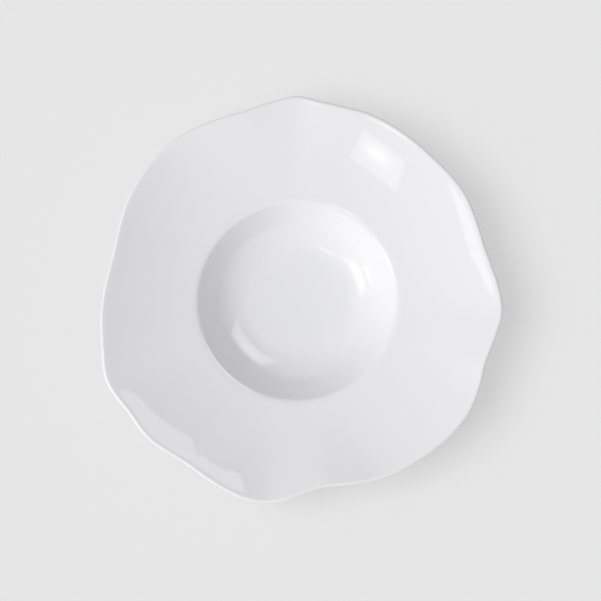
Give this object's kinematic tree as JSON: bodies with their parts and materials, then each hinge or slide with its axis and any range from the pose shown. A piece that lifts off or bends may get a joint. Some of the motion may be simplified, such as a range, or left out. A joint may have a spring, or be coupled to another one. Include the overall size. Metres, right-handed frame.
{
  "type": "pasta plate",
  "caption": "White porcelain pasta plate with a deep round well, a broad rising rim with an irregular wavy edge, and a turned foot ring.",
  "frame": {"origin": "on the surface the plate stands on, below the middle of the wavy outline; the axis of the well and foot is 3.6 mm towards -X and 1.3 mm towards -Y of it", "axes": "+Z up out of the well; seen from above with +X to the right and +Y up, the outline is that of the picture"},
  "size_m": [0.2915, 0.2937, 0.0489],
  "materials": {
    "porcelain": "fired, ground matt on the foot ring",
    "glaze": "clear gloss over white"
  },
  "bodies": {
    "root": {"porcelain_body": "porcelain", "glaze_coat": "glaze", "foot_recess_glaze": "glaze"}
  },
  "joints": []
}
